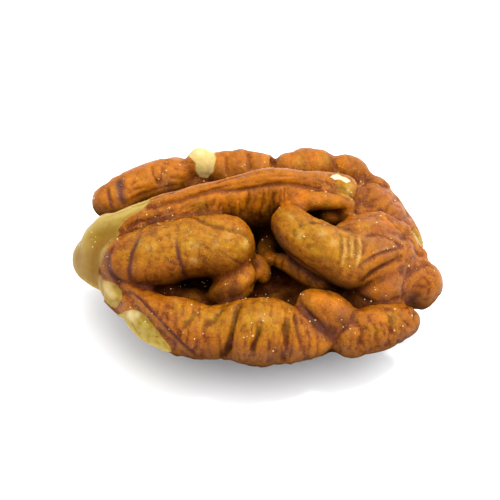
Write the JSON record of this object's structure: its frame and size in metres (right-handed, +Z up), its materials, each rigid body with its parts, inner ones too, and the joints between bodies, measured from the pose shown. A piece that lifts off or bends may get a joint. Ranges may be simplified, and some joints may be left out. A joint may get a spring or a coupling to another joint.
{
  "type": "shelled walnut half kernel",
  "caption": "Shelled walnut half kernel, resting on its rounded furrowed back with the folded inner face and broken root tip up.",
  "frame": {"origin": "centre of the bounding box in plan, on the flat spot that the kernel rests on", "axes": "+X along the kernel from the broken root tip to the blunt end, +Y to the far rim, +Z up out of the folded inner face"},
  "size_m": [0.0344, 0.024, 0.0136],
  "materials": {
    "walnut_skin": "thin papery brown walnut skin, satin, mottled from olive-yellow to red-brown, with darker veins",
    "bare_flesh": "pale oily nut flesh where the skin has rubbed or broken off, and loose crumbs of it"
  },
  "bodies": {
    "root": {"kernel": "walnut_skin"}
  },
  "joints": []
}
